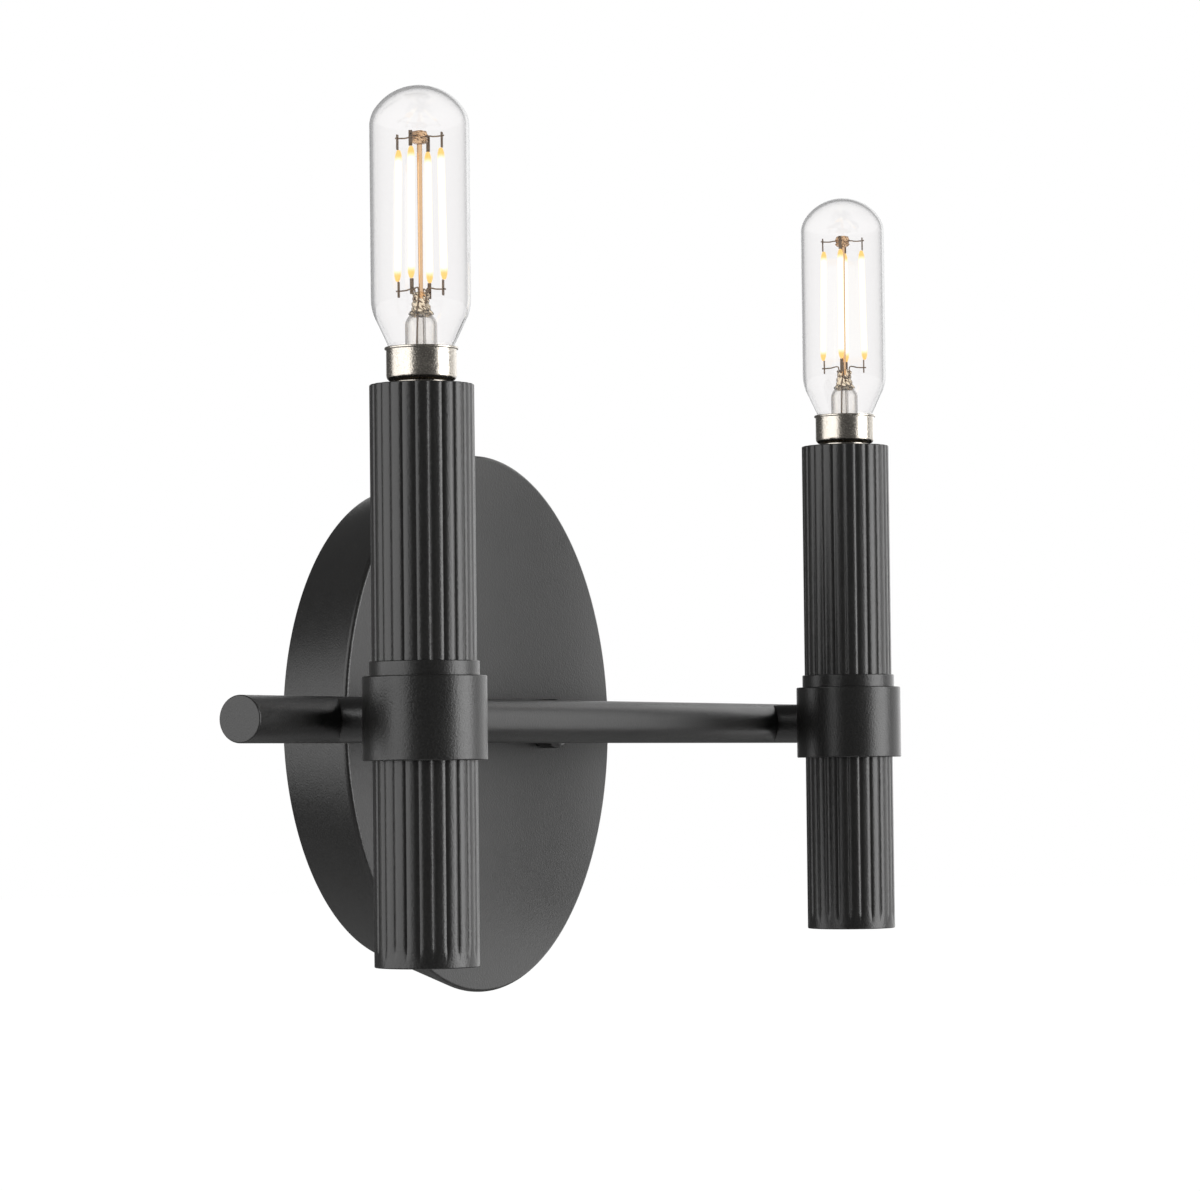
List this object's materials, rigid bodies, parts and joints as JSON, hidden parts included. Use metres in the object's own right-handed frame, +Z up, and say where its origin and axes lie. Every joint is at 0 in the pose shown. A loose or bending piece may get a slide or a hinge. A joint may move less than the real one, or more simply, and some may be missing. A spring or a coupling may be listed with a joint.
{
  "type": "vanity light",
  "caption": "Wall light with a round canopy, a cross bar and upright reeded tubes that hold tubular candelabra bulbs; bulbs and canopy nuts unscrew.",
  "frame": {"origin": "centre of the wall screws in the mounting strap, on the wall plane", "axes": "+X to the right along the cross bar seen from the front, +Y into the wall, +Z up"},
  "size_m": [0.2888, 0.0802, 0.1973],
  "materials": {
    "black_paint": "fine matte powder coat",
    "zinc_steel": "zinc plated",
    "ground_green": "green dyed screw",
    "washer_nylon": "black nylon",
    "socket_phenolic": "moulded phenolic",
    "socket_brass": "plain brass",
    "base_nickel": "satin nickel plate",
    "base_insulator": "black glass",
    "tip_solder": "solder",
    "driver_board": "white circuit board",
    "bulb_clear_glass": "clear thin glass",
    "stem_clear_glass": "clear glass",
    "lead_wire": "nickel wire",
    "filament_phosphor": "glowing phosphor coat"
  },
  "bodies": {
    "fixture": {"canopy": "black_paint", "mounting_strap": "zinc_steel", "canopy_studs": "zinc_steel", "stud_lock_nuts": "zinc_steel", "ground_screw": "ground_green", "stem": "black_paint", "stem_nipple": "zinc_steel", "stem_washer": "zinc_steel", "stem_nut": "zinc_steel", "cross_bar": "black_paint", "left_bar_cap": "black_paint", "left_stub": "black_paint", "left_collar": "black_paint", "left_ring": "black_paint", "left_upper_tube": "black_paint", "left_lower_tube": "black_paint", "left_tube_plug": "zinc_steel", "left_lamp_nipple": "zinc_steel", "left_lamp_nut": "zinc_steel", "left_socket_body": "socket_phenolic", "left_socket_shell": "socket_brass", "left_socket_contact": "socket_brass", "right_bar_cap": "black_paint", "right_stub": "black_paint", "right_collar": "black_paint", "right_ring": "black_paint", "right_upper_tube": "black_paint", "right_lower_tube": "black_paint", "right_tube_plug": "zinc_steel", "right_lamp_nipple": "zinc_steel", "right_lamp_nut": "zinc_steel", "right_socket_body": "socket_phenolic", "right_socket_shell": "socket_brass", "right_socket_contact": "socket_brass"},
    "left_bulb_tip": {"left_bulb_insulator": "base_insulator", "left_bulb_contact": "tip_solder"},
    "left_bulb": {"left_bulb_base": "base_nickel", "left_bulb_driver": "driver_board", "left_bulb_glass": "bulb_clear_glass", "left_bulb_stem": "stem_clear_glass", "left_bulb_leads": "lead_wire", "left_bulb_filaments": "filament_phosphor"},
    "left_washer": {"left_nut_washer": "washer_nylon"},
    "left_nut": {"left_cap_nut": "black_paint"},
    "right_bulb_tip": {"right_bulb_insulator": "base_insulator", "right_bulb_contact": "tip_solder"},
    "right_bulb": {"right_bulb_base": "base_nickel", "right_bulb_driver": "driver_board", "right_bulb_glass": "bulb_clear_glass", "right_bulb_stem": "stem_clear_glass", "right_bulb_leads": "lead_wire", "right_bulb_filaments": "filament_phosphor"},
    "right_washer": {"right_nut_washer": "washer_nylon"},
    "right_nut": {"right_cap_nut": "black_paint"}
  },
  "joints": [
    {"name": "left_bulb_lift", "type": "slide", "parent": "fixture", "child": "left_bulb_tip", "axis": [0, 0, 1], "range_m": [0, 0.0102]},
    {"name": "left_bulb_turn", "type": "hinge", "parent": "left_bulb_tip", "child": "left_bulb", "pos_m": [-0.1076, -0.067, 0.071], "axis": [0, 0, 1], "range_deg": [0, 1440]},
    {"name": "left_nut_travel", "type": "slide", "parent": "fixture", "child": "left_washer", "axis": [0, -1, 0], "range_m": [0, 0.0036]},
    {"name": "left_nut_turn", "type": "hinge", "parent": "left_washer", "child": "left_nut", "pos_m": [-0.0285, -0.0217, 0], "axis": [0, -1, 0], "range_deg": [0, 1620]},
    {"name": "right_bulb_lift", "type": "slide", "parent": "fixture", "child": "right_bulb_tip", "axis": [0, 0, 1], "range_m": [0, 0.0102]},
    {"name": "right_bulb_turn", "type": "hinge", "parent": "right_bulb_tip", "child": "right_bulb", "pos_m": [0.1076, -0.067, 0.071], "axis": [0, 0, 1], "range_deg": [0, 1440]},
    {"name": "right_nut_travel", "type": "slide", "parent": "fixture", "child": "right_washer", "axis": [0, -1, 0], "range_m": [0, 0.0036]},
    {"name": "right_nut_turn", "type": "hinge", "parent": "right_washer", "child": "right_nut", "pos_m": [0.0285, -0.0217, 0], "axis": [0, -1, 0], "range_deg": [0, 1620]}
  ],
  "couplings": [
    {"joint": "left_bulb_lift", "follows": "left_bulb_turn", "m_per_rad": 0.00040425},
    {"joint": "left_nut_travel", "follows": "left_nut_turn", "m_per_rad": 0.00012633},
    {"joint": "right_bulb_lift", "follows": "right_bulb_turn", "m_per_rad": 0.00040425},
    {"joint": "right_nut_travel", "follows": "right_nut_turn", "m_per_rad": 0.00012633}
  ]
}
